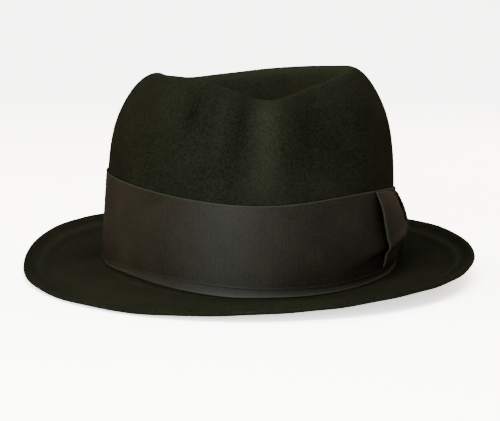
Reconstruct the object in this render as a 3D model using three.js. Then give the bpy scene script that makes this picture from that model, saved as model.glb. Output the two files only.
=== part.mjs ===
// A soft felt fedora. One felt shape makes the crown and the brim, with the lip turned over as a welt.
// A wide ribbon goes round the crown, with a narrow one under its lower edge and a flat bow on the
// wearer's left. Lengths are in millimetres. The front of the hat faces -Y, the wearer's left is +X,
// and the hat rests on the XY plane. A bearing is in degrees round the head, from the front (0) by the
// wearer's left (90) to the back (180).
import * as THREE from 'three';

// Felt sizes
const HEAD_WIDTH = 165;
const HEAD_LENGTH = 206;
const CROWN_HEIGHT = 116;
const BRIM_WIDTH = 45.5;
const FELT_THICK = 2;
const WELT_WIDTH = 8;
const WELT_THICK = 1;
const DENT_DEPTH = 27;
const PINCH_DEPTH = 10;
const SIDE_RISE = 4.6;
const FOOT_FLARE = 2.4;
const REST_LAND = 4;

// Ribbon sizes
const RIBBON_WIDTH = 48;
const RIBBON_THICK = 0.8;
const UNDER_FOOT = 1.2;
const UNDER_TUCK = 3;
const CLEARANCE = 0.3;

// Bow sizes
const BOW_BEARING = 80;
const BOW_HEIGHT = 42;
const BOW_LIFT = 0.5;
const WING_LENGTH = 58;
const WING_SLANT = 4;
const WING_PROUD = 5;
const WING_THICK = 1.2;
const KNOT_WIDTH = 15;
const KNOT_HEIGHT = 36;
const KNOT_PROUD = 5.6;
const KNOT_THICK = 1.2;

// Head oval: the exponent squares the ellipse a little, and the egg narrows its front
const OVAL_POWER = 2.12;
const EGG = 0.02;
// The break, where the brim leaves the crown, is flat this many degrees each side of front and back
const FLAT_ARC = 12;

// What changes round the crown, a row every 30 degrees from the front by the wearer's left. rim and
// dent are shares of CROWN_HEIGHT and DENT_DEPTH, lean widens or narrows the top of the crown and flare
// its foot, and top and foot are the ribbon's edges as shares of RIBBON_WIDTH.
const CROWN_ROUND = [
  { rim: 0.84, dent: 0.5, lean: 0.99, flare: 0, top: 0.985, foot: 0.095 },
  { rim: 0.935, dent: 0.72, lean: 1.01, flare: 0, top: 1.1, foot: 0.125 },
  { rim: 1, dent: 0.92, lean: 1.03, flare: 0, top: 1.095, foot: 0.19 },
  { rim: 1.01, dent: 1, lean: 1.03, flare: 0, top: 0.935, foot: 0.14 },
  { rim: 1, dent: 1, lean: 1.02, flare: 0, top: 1.02, foot: 0.11 },
  { rim: 0.98, dent: 0.95, lean: 1, flare: 0, top: 1.02, foot: 0.07 },
  { rim: 0.953, dent: 0.9, lean: 0.99, flare: 0, top: 1.04, foot: 0.06 },
  { rim: 0.923, dent: 0.95, lean: 0.98, flare: 0.2, top: 1.08, foot: 0.07 },
  { rim: 0.948, dent: 1, lean: 0.98, flare: 0.7, top: 1.15, foot: 0.11 },
  { rim: 0.983, dent: 1, lean: 0.972, flare: 1, top: 1.205, foot: 0.14 },
  { rim: 0.977, dent: 0.92, lean: 0.98, flare: 0.6, top: 1.175, foot: 0.205 },
  { rim: 0.97, dent: 0.72, lean: 0.98, flare: 0.1, top: 1.065, foot: 0.17 },
];

// The brim's slopes in degrees at the same bearings, from the break out to the lip
const BRIM_ROUND = [
  { root: 9, inner: 9, outer: 4, lip: -12 },
  { root: 8, inner: 12, outer: 11, lip: -1 },
  { root: 4, inner: 6, outer: 12, lip: 14 },
  { root: -2, inner: 2, outer: 27, lip: 34 },
  { root: 0, inner: 7, outer: 28, lip: 33 },
  { root: 5, inner: 12, outer: 25, lip: 28 },
  { root: 7, inner: 13, outer: 22, lip: 24 },
  { root: 6, inner: 16, outer: 33, lip: 36 },
  { root: -2, inner: 8, outer: 28, lip: 33 },
  { root: -12, inner: -7, outer: 0, lip: 12 },
  { root: -4, inner: -5, outer: -3, lip: 0 },
  { root: 5, inner: 4, outer: -4, lip: -13 },
];

const ROUND = CROWN_ROUND.map((row, k) => ({ ...row, ...BRIM_ROUND[k] }));

// Sections of the crown from the break up over the rim and down into the top dent. up is a share of
// the rim's height, sink of the dent's depth, wide and long of the head oval, and lean and flare say
// how much of the lean and flare in CROWN_ROUND the section takes.
const CROWN = [
  { name: 'break', up: 0, sink: 0, wide: 1, long: 1, lean: 0, flare: 1 },
  { name: 'foot', up: 0.05, sink: 0, wide: 1, long: 1, lean: 0, flare: 1 },
  { name: 'band low', up: 0.18, sink: 0, wide: 0.998, long: 0.999, lean: 0, flare: 0.7 },
  { name: 'band middle', up: 0.32, sink: 0, wide: 0.998, long: 0.998, lean: 0.05, flare: 0.35 },
  { name: 'band top', up: 0.46, sink: 0, wide: 0.997, long: 0.994, lean: 0.1, flare: 0.1 },
  { name: 'waist', up: 0.62, sink: 0, wide: 0.985, long: 0.976, lean: 0.18, flare: 0 },
  { name: 'chest', up: 0.78, sink: 0, wide: 0.938, long: 0.930, lean: 0.35, flare: 0 },
  { name: 'shoulder', up: 0.915, sink: 0, wide: 0.840, long: 0.870, lean: 0.65, flare: 0 },
  { name: 'under rim', up: 0.985, sink: 0, wide: 0.745, long: 0.800, lean: 1.1, flare: 0 },
  { name: 'rim', up: 1.01, sink: 0, wide: 0.645, long: 0.730, lean: 1.6, flare: 0 },
  { name: 'over rim', up: 0.96, sink: 0.08, wide: 0.545, long: 0.660, lean: 1.6, flare: 0 },
  { name: 'dent wall', up: 0.96, sink: 0.45, wide: 0.420, long: 0.580, lean: 1.2, flare: 0 },
  { name: 'dent foot', up: 0.96, sink: 0.85, wide: 0.270, long: 0.480, lean: 0.8, flare: 0 },
  { name: 'dent floor', up: 0.96, sink: 1, wide: 0.130, long: 0.400, lean: 0.3, flare: 0 },
  { name: 'crease', up: 0.96, sink: 1.05, wide: 0.030, long: 0.340, lean: 0, flare: 0 },
];

// Shares of the brim's width at which its profile has a control point, from the lip inwards
const BRIM_SHARES = [1, 0.9, 0.8, 0.64, 0.46, 0.28, 0.1];

// Shares of the brim's width, from the break out, at which the brim takes each slope in BRIM_ROUND
const SLOPES = [
  { column: 'root', at: 0 },
  { column: 'inner', at: 0.4 },
  { column: 'outer', at: 0.8 },
  { column: 'lip', at: 1 },
];

// Pinches pressed into the front of the crown. up and tall are shares of CROWN_HEIGHT, across is in
// degrees and deep is a share of PINCH_DEPTH.
const PINCHES = [
  { name: 'right pinch', bearing: -15, across: 13, up: 0.80, tall: 0.19, deep: 0.8 },
  { name: 'right dimple', bearing: -42, across: 12, up: 0.76, tall: 0.16, deep: 0.25 },
  { name: 'left pinch', bearing: 25, across: 16, up: 0.80, tall: 0.21, deep: 0.9 },
];

// Nearer the middle of the crown than this, the pinches fade out
const PINCH_FADE = HEAD_WIDTH / 4;

// Sections of a bow wing from the knot to its open end: along is a share of WING_LENGTH, tall of
// BOW_HEIGHT and proud of WING_PROUD.
const WING = [
  { along: 0.03, tall: 0.28, proud: 0.50 },
  { along: 0.14, tall: 0.32, proud: 0.55 },
  { along: 0.26, tall: 0.46, proud: 0.62 },
  { along: 0.38, tall: 0.80, proud: 0.70 },
  { along: 0.50, tall: 0.96, proud: 0.78 },
  { along: 0.75, tall: 1.00, proud: 0.90 },
  { along: 1.00, tall: 1.00, proud: 1.00 },
];

// Sections of the knot from its rear edge to its front edge, with rolled edges
const KNOT = [
  { along: -0.5, proud: 0.88 },
  { along: -0.25, proud: 1 },
  { along: 0.25, proud: 1 },
  { along: 0.5, proud: 0.88 },
];

// The bow's strips bulge as 1 less a power of the distance from their middle
const WING_BULGE_POWER = 2.4;
const KNOT_BULGE_POWER = 1.8;

// How finely the surfaces are cut
const BEARINGS = 60;
const ROOT_STEPS = 4;
const SIDE_STEPS = 4;
const TOP_STEPS = 13;
const BRIM_RINGS = [0.06, 0.2, 0.36, 0.52, 0.68];
const BAND_RINGS = [0, 0.07, 0.35, 0.7, 1];
const UNDER_RINGS = [0, 0.5, 1];
const LIP_ANGLES = [45, 0, -45];
const WING_ACROSS = 12;
const KNOT_ACROSS = 14;
// Up to this ring of the crown's top, its inside takes only every second ring
const COARSE_INSIDE = 8;

// Small steps for working out directions, in degrees and along the profile, and for finding places
const OVAL_ARC = 0.05;
const NORMAL_ARC = 0.5;
const NORMAL_STEP = 0.02;
const HALVINGS = 30;

// Places along the profile: 0 is the lip, and each control point adds 1. The ribbons' edges lie
// between BELOW_BREAK and ABOVE_RIBBON.
const BREAK = BRIM_SHARES.length;
const BELOW_BREAK = BREAK - 0.5;
const ABOVE_RIBBON = BREAK + 7;
const SIDE_END = BREAK + CROWN.findIndex((row) => row.name === 'waist');
const LAST = BREAK + CROWN.length - 1;

const FELT_LOOK = { color: 0x1c1e19, roughness: 0.95, metalness: 0 };
const RIBBON_LOOK = { color: 0x26221b, roughness: 0.6, metalness: 0 };

// Small maths

function radians(degrees) {
  return degrees * Math.PI / 180;
}

function mix(low, high, share) {
  return low + (high - low) * share;
}

function clamp(value, low, high) {
  return Math.min(high, Math.max(low, value));
}

// Evenly spaced values from start up to but not including end
function steps(start, end, count) {
  return Array.from({ length: count }, (_, k) => mix(start, end, k / count));
}

// Weights of the four control values of a cubic B-spline
function splineWeights(f) {
  const g = 1 - f;
  const near = (t) => (3 * t ** 3 - 6 * t ** 2 + 4) / 6;
  return [g ** 3 / 6, near(f), near(g), f ** 3 / 6];
}

// The place between low and high where isBefore stops being true
function findPlace(low, high, isBefore) {
  let [from, to] = [low, high];
  for (let k = 0; k < HALVINGS; k += 1) {
    const middle = (from + to) / 2;
    if (isBefore(middle)) from = middle;
    else to = middle;
  }
  return (from + to) / 2;
}

// Head oval and what changes round it

function around(column, bearing) {
  const place = THREE.MathUtils.euclideanModulo(bearing / 360, 1) * ROUND.length;
  const row = Math.floor(place);
  const at = (k) => ROUND[(row + k - 1 + ROUND.length) % ROUND.length][column];
  return splineWeights(place - row).reduce((sum, weight, k) => sum + weight * at(k), 0);
}

function oval(bearing, wide, long) {
  const s = Math.sin(radians(bearing));
  const c = Math.cos(radians(bearing));
  const reach = (Math.abs(s) ** OVAL_POWER + Math.abs(c) ** OVAL_POWER) ** (-1 / OVAL_POWER);
  const x = HEAD_WIDTH / 2 * wide * s * reach * (1 - EGG * c);
  const y = -HEAD_LENGTH / 2 * long * c * reach;
  return new THREE.Vector2(x, y);
}

function outward(bearing) {
  const behind = oval(bearing - OVAL_ARC, 1, 1);
  const ahead = oval(bearing + OVAL_ARC, 1, 1);
  return new THREE.Vector2(ahead.y - behind.y, behind.x - ahead.x).normalize();
}

// Height of the break: level at front and back, and lifted at the sides
function breakRise(bearing) {
  const flat = Math.sin(radians(FLAT_ARC)) ** 2;
  const side = Math.sin(radians(bearing)) ** 2;
  return SIDE_RISE * Math.max(0, (side - flat) / (1 - flat));
}

// Plan of the break: the head oval and the flare of the crown's foot
function breakPoint(bearing) {
  return oval(bearing, 1, 1).addScaledVector(outward(bearing), FOOT_FLARE * around('flare', bearing));
}

// Felt surface

function brimSlope(bearing, share) {
  const next = Math.max(1, SLOPES.findIndex((slope) => slope.at >= share));
  const [from, to] = [SLOPES[next - 1], SLOPES[next]];
  const part = (share - from.at) / (to.at - from.at);
  return mix(around(from.column, bearing), around(to.column, bearing), part);
}

// Control points of the brim's profile at one bearing, from the lip inwards
function brimProfile(bearing) {
  const foot = breakPoint(bearing);
  const away = outward(bearing);
  const points = [];
  let reach = 0;
  let height = breakRise(bearing);
  let last = 0;
  for (const share of [...BRIM_SHARES].reverse()) {
    const slope = radians(brimSlope(bearing, (share + last) / 2));
    reach += Math.cos(slope) * (share - last) * BRIM_WIDTH;
    height += Math.sin(slope) * (share - last) * BRIM_WIDTH;
    points.unshift(new THREE.Vector3(foot.x + away.x * reach, foot.y + away.y * reach, height));
    last = share;
  }
  return points;
}

function crownProfile(bearing) {
  const rim = CROWN_HEIGHT * around('rim', bearing);
  const dent = DENT_DEPTH * around('dent', bearing);
  const lean = around('lean', bearing) - 1;
  const rise = breakRise(bearing);
  const flare = outward(bearing).multiplyScalar(FOOT_FLARE * around('flare', bearing));
  return CROWN.map((row) => {
    const grow = 1 + lean * row.lean;
    const flat = oval(bearing, row.wide * grow, row.long * grow).addScaledVector(flare, row.flare);
    return new THREE.Vector3(flat.x, flat.y, rise * (1 - row.up) + rim * row.up - dent * row.sink);
  });
}

// Where the profile's B-spline passes: u is 0 at the lip, BREAK at the break and LAST at the crease
function alongProfile(points, u) {
  const place = clamp(u, 0, points.length - 1);
  const start = Math.min(Math.floor(place), points.length - 2);
  const at = (k) => {
    if (k < 0) return points[0].clone().multiplyScalar(2).sub(points[1]);
    if (k >= points.length) return points.at(-1).clone().multiplyScalar(2).sub(points.at(-2));
    return points[k];
  };
  const sum = new THREE.Vector3();
  splineWeights(place - start).forEach((weight, k) => sum.addScaledVector(at(start + k - 1), weight));
  return sum;
}

function pressPinches(point, bearing) {
  const inward = 1 / Math.max(Math.hypot(point.x, point.y), PINCH_FADE);
  let push = 0;
  for (const pinch of PINCHES) {
    const turn = THREE.MathUtils.euclideanModulo(bearing - pinch.bearing + 180, 360) - 180;
    const across = turn / pinch.across;
    const up = (point.z / CROWN_HEIGHT - pinch.up) / pinch.tall;
    push += PINCH_DEPTH * pinch.deep * Math.exp(-across * across - up * up);
  }
  point.x -= push * inward * point.x;
  point.y -= push * inward * point.y;
  return point;
}

function feltPoint(bearing, u) {
  const point = alongProfile([...brimProfile(bearing), ...crownProfile(bearing)], u);
  return u > BREAK ? pressPinches(point, bearing) : point;
}

function feltNormal(bearing, u) {
  const low = clamp(u - NORMAL_STEP, 0, LAST - 2 * NORMAL_STEP);
  const round = feltPoint(bearing + NORMAL_ARC, u).sub(feltPoint(bearing - NORMAL_ARC, u));
  const along = feltPoint(bearing, low + 2 * NORMAL_STEP).sub(feltPoint(bearing, low));
  return round.cross(along).normalize();
}

// Place along the profile of a share of the brim's width, found on the shares' own B-spline
function brimPlace(share) {
  const line = [...BRIM_SHARES, 0, 0].map((value) => new THREE.Vector3(value, 0, 0));
  return findPlace(0, BREAK, (u) => alongProfile(line, u).x > share);
}

// Place along the profile where the crown's side reaches a height
function sidePlace(bearing, height) {
  return findPlace(BELOW_BREAK, ABOVE_RIBBON, (u) => feltPoint(bearing, u).z < height);
}

// Closed meshes from rings of points

function meshOf(name, look, points, faces) {
  const geometry = new THREE.BufferGeometry();
  const places = points.flatMap((point) => point.toArray());
  geometry.setAttribute('position', new THREE.Float32BufferAttribute(places, 3));
  geometry.setIndex(faces);
  geometry.computeVertexNormals();
  const mesh = new THREE.Mesh(geometry, new THREE.MeshStandardMaterial(look));
  mesh.name = name;
  return mesh;
}

// Faces between each ring and the next, all the way round
function ringFaces(ringCount, size) {
  const faces = [];
  for (let i = 0; i + 1 < ringCount; i += 1) {
    for (let j = 0; j < size; j += 1) {
      const next = (j + 1) % size;
      const [a, b, c, d] = [i * size + j, i * size + next, (i + 1) * size + next, (i + 1) * size + j];
      faces.push(a, c, b, a, d, c);
    }
  }
  return faces;
}

// Faces that close a long thin ring across its width, from the front end to the back end
function creaseFaces(first, size) {
  const faces = [];
  for (let j = 0; j < size / 2; j += 1) {
    const [a, b] = [first + j, first + j + 1];
    const [c, d] = [first + (size - j - 1) % size, first + (size - j) % size];
    if (j > 0) faces.push(a, c, d);
    if (j < size / 2 - 1) faces.push(a, b, c);
  }
  return faces;
}

function flip(faces) {
  const turned = [];
  for (let k = 0; k < faces.length; k += 3) turned.push(faces[k], faces[k + 2], faces[k + 1]);
  return turned;
}

// A closed band: the last ring joins the first
function bandMesh(name, look, rings) {
  const size = rings[0].length;
  const points = rings.flat();
  const count = points.length;
  const faces = ringFaces(rings.length + 1, size).map((index) => index % count);
  return meshOf(name, look, points, faces);
}

// A closed strip from rings that each go out along its inner face and back along its outer face
function stripMesh(name, look, rings) {
  const size = rings[0].length;
  const ends = [];
  for (let j = 0; j + 1 < size / 2; j += 1) {
    ends.push(j, j + 1, size - 2 - j, j, size - 2 - j, size - 1 - j);
  }
  const far = (rings.length - 1) * size;
  const faces = [...ringFaces(rings.length, size), ...ends, ...flip(ends).map((index) => index + far)];
  return meshOf(name, look, rings.flat(), faces);
}

// Felt body

const BEARING_LIST = steps(0, 360, BEARINGS);

function feltRing(u, lift) {
  return BEARING_LIST.map((bearing) => feltPoint(bearing, u).addScaledVector(feltNormal(bearing, u), lift));
}

// The underside of the break is pressed level, so that the hat has a land to rest on
function landRing(share) {
  return BEARING_LIST.map((bearing) => {
    const foot = breakPoint(bearing);
    const away = outward(bearing).multiplyScalar(share * REST_LAND);
    return new THREE.Vector3(foot.x + away.x, foot.y + away.y, breakRise(bearing) - FELT_THICK);
  });
}

// The lip is a half round from the upper to the lower face
function lipRings() {
  const thick = FELT_THICK + WELT_THICK;
  const middle = WELT_THICK - thick / 2;
  return LIP_ANGLES.map((angle) => BEARING_LIST.map((bearing) => {
    const edge = feltPoint(bearing, 0);
    const away = edge.clone().sub(feltPoint(bearing, NORMAL_STEP)).normalize();
    return edge
      .addScaledVector(feltNormal(bearing, 0), middle + Math.sin(radians(angle)) * thick / 2)
      .addScaledVector(away, Math.cos(radians(angle)) * thick / 2);
  }));
}

// Rings of the upper face, from the crease in the top dent out to the lip
function upperRings(crown, brim, welt) {
  return [
    ...crown.toReversed().map((u) => feltRing(u, 0)),
    ...brim.map((u) => feltRing(u, 0)),
    feltRing(brimPlace(welt - WELT_THICK / 2 / BRIM_WIDTH), 0),
    feltRing(brimPlace(welt), WELT_THICK),
    feltRing(brimPlace((welt + 1) / 2), WELT_THICK),
    feltRing(0, WELT_THICK),
  ];
}

// Rings of the under face, from the lip in to the break and up inside the crown
function lowerRings(crown, brim, welt) {
  const inwards = [brimPlace((welt + 1) / 2), ...brim.slice(1).reverse()];
  return [
    feltRing(0, -FELT_THICK),
    ...inwards.map((u) => feltRing(u, -FELT_THICK)),
    landRing(1),
    landRing(0),
    ...crown.map((u) => feltRing(u, -FELT_THICK)),
  ];
}

function feltBody() {
  const welt = 1 - WELT_WIDTH / BRIM_WIDTH;
  const root = steps(BREAK, BREAK + 1, ROOT_STEPS);
  const side = steps(BREAK + 1, SIDE_END, SIDE_STEPS);
  const top = [...steps(SIDE_END, LAST, TOP_STEPS), LAST];
  const insideTop = top.filter((_, k) => k % 2 === 0 || k > COARSE_INSIDE);
  const brim = BRIM_RINGS.filter((share) => share < welt).map(brimPlace);
  const rings = [
    ...upperRings([...root, ...side, ...top], brim, welt),
    ...lipRings(),
    ...lowerRings([root.at(-1), ...side, ...insideTop], brim, welt),
  ];
  const first = creaseFaces(0, BEARINGS);
  const final = flip(creaseFaces((rings.length - 1) * BEARINGS, BEARINGS));
  const faces = [...first, ...ringFaces(rings.length, BEARINGS), ...final];
  return meshOf('felt_body', FELT_LOOK, rings.flat(), faces);
}

// Ribbons

function ribbonHeights(bearing) {
  return {
    top: RIBBON_WIDTH * around('top', bearing),
    foot: RIBBON_WIDTH * around('foot', bearing),
  };
}

// How far the inside of the band stands off the felt: its foot lies over the under ribbon
function bandStandOff(share) {
  return CLEARANCE + (RIBBON_THICK + CLEARANCE) * (1 - clamp(share, 0, 1));
}

function besideCrown(bearing, height, off) {
  const u = sidePlace(bearing, height);
  return feltPoint(bearing, u).addScaledVector(feltNormal(bearing, u), off);
}

function ribbonBand() {
  const ring = (share, extra) => BEARING_LIST.map((bearing) => {
    const { top, foot } = ribbonHeights(bearing);
    return besideCrown(bearing, mix(foot, top, share), bandStandOff(share) + extra);
  });
  const inside = BAND_RINGS.map((share) => ring(share, 0));
  const outside = BAND_RINGS.map((share) => ring(share, RIBBON_THICK)).reverse();
  return bandMesh('ribbon_band', RIBBON_LOOK, [...inside, ...outside]);
}

function underRibbon() {
  const ring = (share, off) => BEARING_LIST.map((bearing) => {
    const foot = UNDER_FOOT + breakRise(bearing);
    return besideCrown(bearing, mix(foot, ribbonHeights(bearing).foot + UNDER_TUCK, share), off);
  });
  const inside = UNDER_RINGS.map((share) => ring(share, CLEARANCE));
  const outside = UNDER_RINGS.map((share) => ring(share, CLEARANCE + RIBBON_THICK)).reverse();
  return bandMesh('under_ribbon', RIBBON_LOOK, [...inside, ...outside]);
}

// Bow

// A point off the band's outer face, at a distance along the head from the bow's middle. The middle
// of the bow is a little above halfway up the band.
function offBand(along, across, off) {
  const perDegree = oval(BOW_BEARING + 0.5, 1, 1).distanceTo(oval(BOW_BEARING - 0.5, 1, 1));
  const bearing = BOW_BEARING - along / perDegree;
  const { top, foot } = ribbonHeights(bearing);
  const height = (top + foot) / 2 + BOW_LIFT + across;
  const share = (height - foot) / (top - foot);
  return besideCrown(bearing, height, bandStandOff(share) + RIBBON_THICK + off);
}

// Rings round a curved strip's section: out along its inner face and back along its outer face
function stripRing({ along, slant, halfHeight, crest, power, thick, count }) {
  const places = Array.from({ length: count + 1 }, (_, k) => mix(-1, 1, k / count));
  const face = (extra) => places.map((t) => {
    const bulge = crest * (1 - Math.abs(t) ** power);
    return offBand(along + slant * t, t * halfHeight, CLEARANCE + bulge + extra);
  });
  return [...face(0), ...face(thick).reverse()];
}

function wing(name, side) {
  const rings = WING.map((row) => stripRing({
    along: side * row.along * WING_LENGTH,
    slant: side * row.along * WING_SLANT,
    halfHeight: row.tall * BOW_HEIGHT / 2,
    crest: row.proud * WING_PROUD,
    power: WING_BULGE_POWER,
    thick: WING_THICK,
    count: WING_ACROSS,
  }));
  return stripMesh(name, RIBBON_LOOK, side > 0 ? rings : rings.reverse());
}

function knot() {
  const rings = KNOT.map((row) => stripRing({
    along: row.along * KNOT_WIDTH,
    slant: 0,
    halfHeight: KNOT_HEIGHT / 2,
    crest: row.proud * KNOT_PROUD,
    power: KNOT_BULGE_POWER,
    thick: KNOT_THICK,
    count: KNOT_ACROSS,
  }));
  return stripMesh('bow_knot', RIBBON_LOOK, rings);
}

const hat = new THREE.Group();
hat.add(feltBody(), ribbonBand(), underRibbon());
hat.add(wing('bow_front_wing', 1), wing('bow_rear_wing', -1), knot());

// The origin is the middle of the bottom of the hat's box
const box = new THREE.Box3().setFromObject(hat);
const middle = box.getCenter(new THREE.Vector3());
hat.position.set(-middle.x, -middle.y, -box.min.z);

export default hat;
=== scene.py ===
"""A black felt fedora with a wide ribbed ribbon and a flat bow, set down on a pale sweep."""

import bpy
import numpy as np
from bpy.props import FloatProperty, FloatVectorProperty, PointerProperty
from bpy.types import Operator, Panel, PropertyGroup
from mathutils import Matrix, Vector


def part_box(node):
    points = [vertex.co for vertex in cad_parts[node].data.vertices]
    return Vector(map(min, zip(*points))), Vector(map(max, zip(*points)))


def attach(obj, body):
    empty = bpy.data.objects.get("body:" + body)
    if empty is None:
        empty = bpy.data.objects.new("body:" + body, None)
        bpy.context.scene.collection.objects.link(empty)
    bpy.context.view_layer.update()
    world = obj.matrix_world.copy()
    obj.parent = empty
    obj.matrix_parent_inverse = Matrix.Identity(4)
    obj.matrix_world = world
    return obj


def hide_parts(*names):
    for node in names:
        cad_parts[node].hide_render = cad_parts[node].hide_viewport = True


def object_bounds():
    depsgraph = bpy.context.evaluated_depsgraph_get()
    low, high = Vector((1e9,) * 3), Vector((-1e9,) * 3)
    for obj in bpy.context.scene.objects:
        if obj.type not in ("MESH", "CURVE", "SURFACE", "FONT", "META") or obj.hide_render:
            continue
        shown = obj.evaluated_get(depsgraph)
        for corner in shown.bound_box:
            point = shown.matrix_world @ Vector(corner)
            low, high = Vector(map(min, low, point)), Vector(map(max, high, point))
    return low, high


bl_info = {
    "name": "Felt Fedora",
    "version": (1, 0, 0),
    "blender": (4, 5, 0),
    "location": "3D View > Sidebar > Fedora",
    "description": "A felt fedora with a ribbed ribbon and a flat bow",
    "category": "Object",
}

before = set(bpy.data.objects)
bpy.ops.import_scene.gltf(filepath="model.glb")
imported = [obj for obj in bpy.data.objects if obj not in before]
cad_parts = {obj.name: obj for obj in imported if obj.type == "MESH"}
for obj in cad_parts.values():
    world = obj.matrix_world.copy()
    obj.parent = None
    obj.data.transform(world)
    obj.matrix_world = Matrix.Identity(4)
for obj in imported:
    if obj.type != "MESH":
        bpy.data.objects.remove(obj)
CAD_LOW, CAD_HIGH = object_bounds()
FELT_LOW, FELT_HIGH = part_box("felt_body")

# Bearings are in degrees round the head, from the front (0) by the wearer's left (90) to the back.
# Lengths are in metres.

# Head oval: the exponent squares the ellipse a little, and the egg narrows its front
OVAL_POWER = 2.12
EGG = 0.02
# The break, where the brim leaves the crown, is flat this many degrees each side of front and back
FLAT_ARC = 12

# What changes round the head, a row every 30 degrees from the front by the wearer's left.
# rim and dent are shares of the crown's height and the dent's depth, lean widens or narrows the
# top of the crown and flare its foot, root to lip are the brim's slopes in degrees, and top and
# foot are the ribbon's edges as shares of its width.
ROUND_COLUMNS = ("rim", "dent", "lean", "flare", "root", "inner", "outer", "lip", "top", "foot")
ROUND = np.array((
    (0.84, 0.5, 0.99, 0, 9, 9, 4, -12, 0.985, 0.095),
    (0.935, 0.72, 1.01, 0, 8, 12, 11, -1, 1.1, 0.125),
    (1, 0.92, 1.03, 0, 4, 6, 12, 14, 1.095, 0.19),
    (1.01, 1, 1.03, 0, -2, 2, 27, 34, 0.935, 0.14),
    (1, 1, 1.02, 0, 0, 7, 28, 33, 1.02, 0.11),
    (0.98, 0.95, 1, 0, 5, 12, 25, 28, 1.02, 0.07),
    (0.953, 0.9, 0.99, 0, 7, 13, 22, 24, 1.04, 0.06),
    (0.923, 0.95, 0.98, 0.2, 6, 16, 33, 36, 1.08, 0.07),
    (0.948, 1, 0.98, 0.7, -2, 8, 28, 33, 1.15, 0.11),
    (0.983, 1, 0.972, 1, -12, -7, 0, 12, 1.205, 0.125),
    (0.977, 0.92, 0.98, 0.6, -4, -5, -3, 0, 1.175, 0.235),
    (0.97, 0.72, 0.98, 0.1, 5, 4, -4, -13, 1.065, 0.17),
))

# Sections of the crown from the break up over the rim and down into the top dent. up is a share
# of the rim's height, sink of the dent's depth, wide and long of the head oval, and lean and flare
# say how much of the row's own lean and flare the section takes.
CROWN_COLUMNS = ("up", "sink", "wide", "long", "lean", "flare")
CROWN = np.array((
    (0, 0, 1, 1, 0, 1),
    (0.05, 0, 1, 1, 0, 1),
    (0.18, 0, 0.998, 0.999, 0, 0.7),
    (0.32, 0, 0.998, 0.998, 0.05, 0.35),
    (0.46, 0, 0.997, 0.994, 0.1, 0.1),
    (0.62, 0, 0.985, 0.976, 0.18, 0),
    (0.78, 0, 0.938, 0.930, 0.35, 0),
    (0.915, 0, 0.840, 0.870, 0.65, 0),
    (0.985, 0, 0.745, 0.800, 1.1, 0),
    (1.01, 0, 0.645, 0.730, 1.6, 0),
    (0.96, 0.08, 0.545, 0.660, 1.6, 0),
    (0.96, 0.45, 0.420, 0.580, 1.2, 0),
    (0.96, 0.85, 0.270, 0.480, 0.8, 0),
    (0.96, 1, 0.130, 0.400, 0.3, 0),
    (0.96, 1.05, 0.030, 0.340, 0, 0),
))

# Shares of the brim's width at which its profile has a control point, from the lip inwards
BRIM_SHARES = np.array((1, 0.9, 0.8, 0.64, 0.46, 0.28, 0.1))
# Shares of the brim's width at which the four slopes of a row hold
SLOPE_SHARES = (0, 0.4, 0.8, 1)
BREAK = len(BRIM_SHARES)
LAST = BREAK + len(CROWN) - 1
# Place along the profile that is always above the ribbon
ABOVE_RIBBON = BREAK + 7

# Pinches pressed into the front of the crown: bearing and width in degrees, height and length as
# shares of the crown's height, and depth as a share of the pinch depth
PINCHES = (
    (-15, 13, 0.80, 0.19, 0.8),
    (-42, 12, 0.76, 0.16, 0.25),
    (25, 16, 0.80, 0.21, 0.9),
)

# Spots of painted light and shade on the crown, light on its front ridges and dark in the pinches:
# bearing, width, height and length as for a pinch, and what the spot adds to the mix
CROWN_LIGHT_AND_SHADE = (
    (1, 5.5, 0.84, 0.14, 0.20),
    (-2, 6.5, 0.60, 0.22, 0.34),
    (-11, 4.5, 0.80, 0.13, -0.24),
    (-21, 2.5, 0.76, 0.14, 0.16),
    (-33, 3, 0.82, 0.07, -0.24),
    (26, 17, 0.76, 0.18, -0.12),
    (24, 12, 0.50, 0.06, 0.12),
    (-45, 12, 0.60, 0.40, 0.04),
)

# Painted light on the brim in front, towards the wearer's right, and painted shade beside the bow:
# bearing, width and what it adds
BRIM_LIGHT_AND_SHADE = ((-35, 50, 0.20), (90, 35, -0.20))

# Mix towards the lighter felt colour away from the spots, by the place along its profile from the
# lip (0) by the break (7) and the rim (16) to the crease: an even tone, with painted highlights
# along the welt's fold (1.75) and along the rim (16.2)
FELT_TONE_AND_HIGHLIGHTS = {
    0: 0.36, 1.3: 0.42, 1.75: 0.72, 2.1: 0.44, 3: 0.42, 7: 0.34,
    14: 0.34, 15.3: 0.48, 16.2: 0.85, 17: 0.5, 18.5: 0.36, 21: 0.36,
}

# Soft hollows and swells of worn felt: how long each wave is, which way it runs, where it starts
FELT_WAVES = (
    (0.071, (0.8, 0.3, 0.5), 0.4),
    (0.053, (-0.4, 0.9, 0.2), 1.9),
    (0.038, (0.3, -0.5, 0.8), 3.1),
    (0.029, (0.9, 0.4, -0.3), 5.0),
)

# Height of the welt's upper face in welt thicknesses, by the place past its folded edge in welt
# widths, up to the lip
WELT_FACE = {
    -0.22: 0, -0.12: 0.15, -0.03: 0.42, 0.06: 0.72, 0.18: 0.95, 0.35: 1.05, 0.60: 1.04, 0.85: 1,
}

# Rise of the under ribbon's lower edge over the swollen felt at the right of the front, by bearing
UNDER_RISE = {250: 0, 285: 0.0012, 305: 0.0026, 322: 0.0016, 345: 0}

# Pulls in the band by the bow: each runs from one bearing and share of the band's width to another,
# with a soft flank above it and a steep one below. It fades from this share of its run on, and
# under the bow between these many degrees past its start.
PULL_FADE = 0.35
PULL_HIDES = (16, 4)
PULLS = (
    {"from": (66, 0.38), "to": (27, 0.17), "high": 1.0, "above": 0.18, "below": 0.05},
    {"from": (64, 0.68), "to": (48, 0.50), "high": 0.3, "above": 0.10, "below": 0.08},
)

# A fold that runs in from a wing's open edge: share of the wing's length and place across it, its
# width, and the share of its run from which it fades
WING_CREASE = {"from": (1.0, -0.24), "to": (0.35, 0.10), "across": 0.09, "fade": 0.5}

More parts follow.
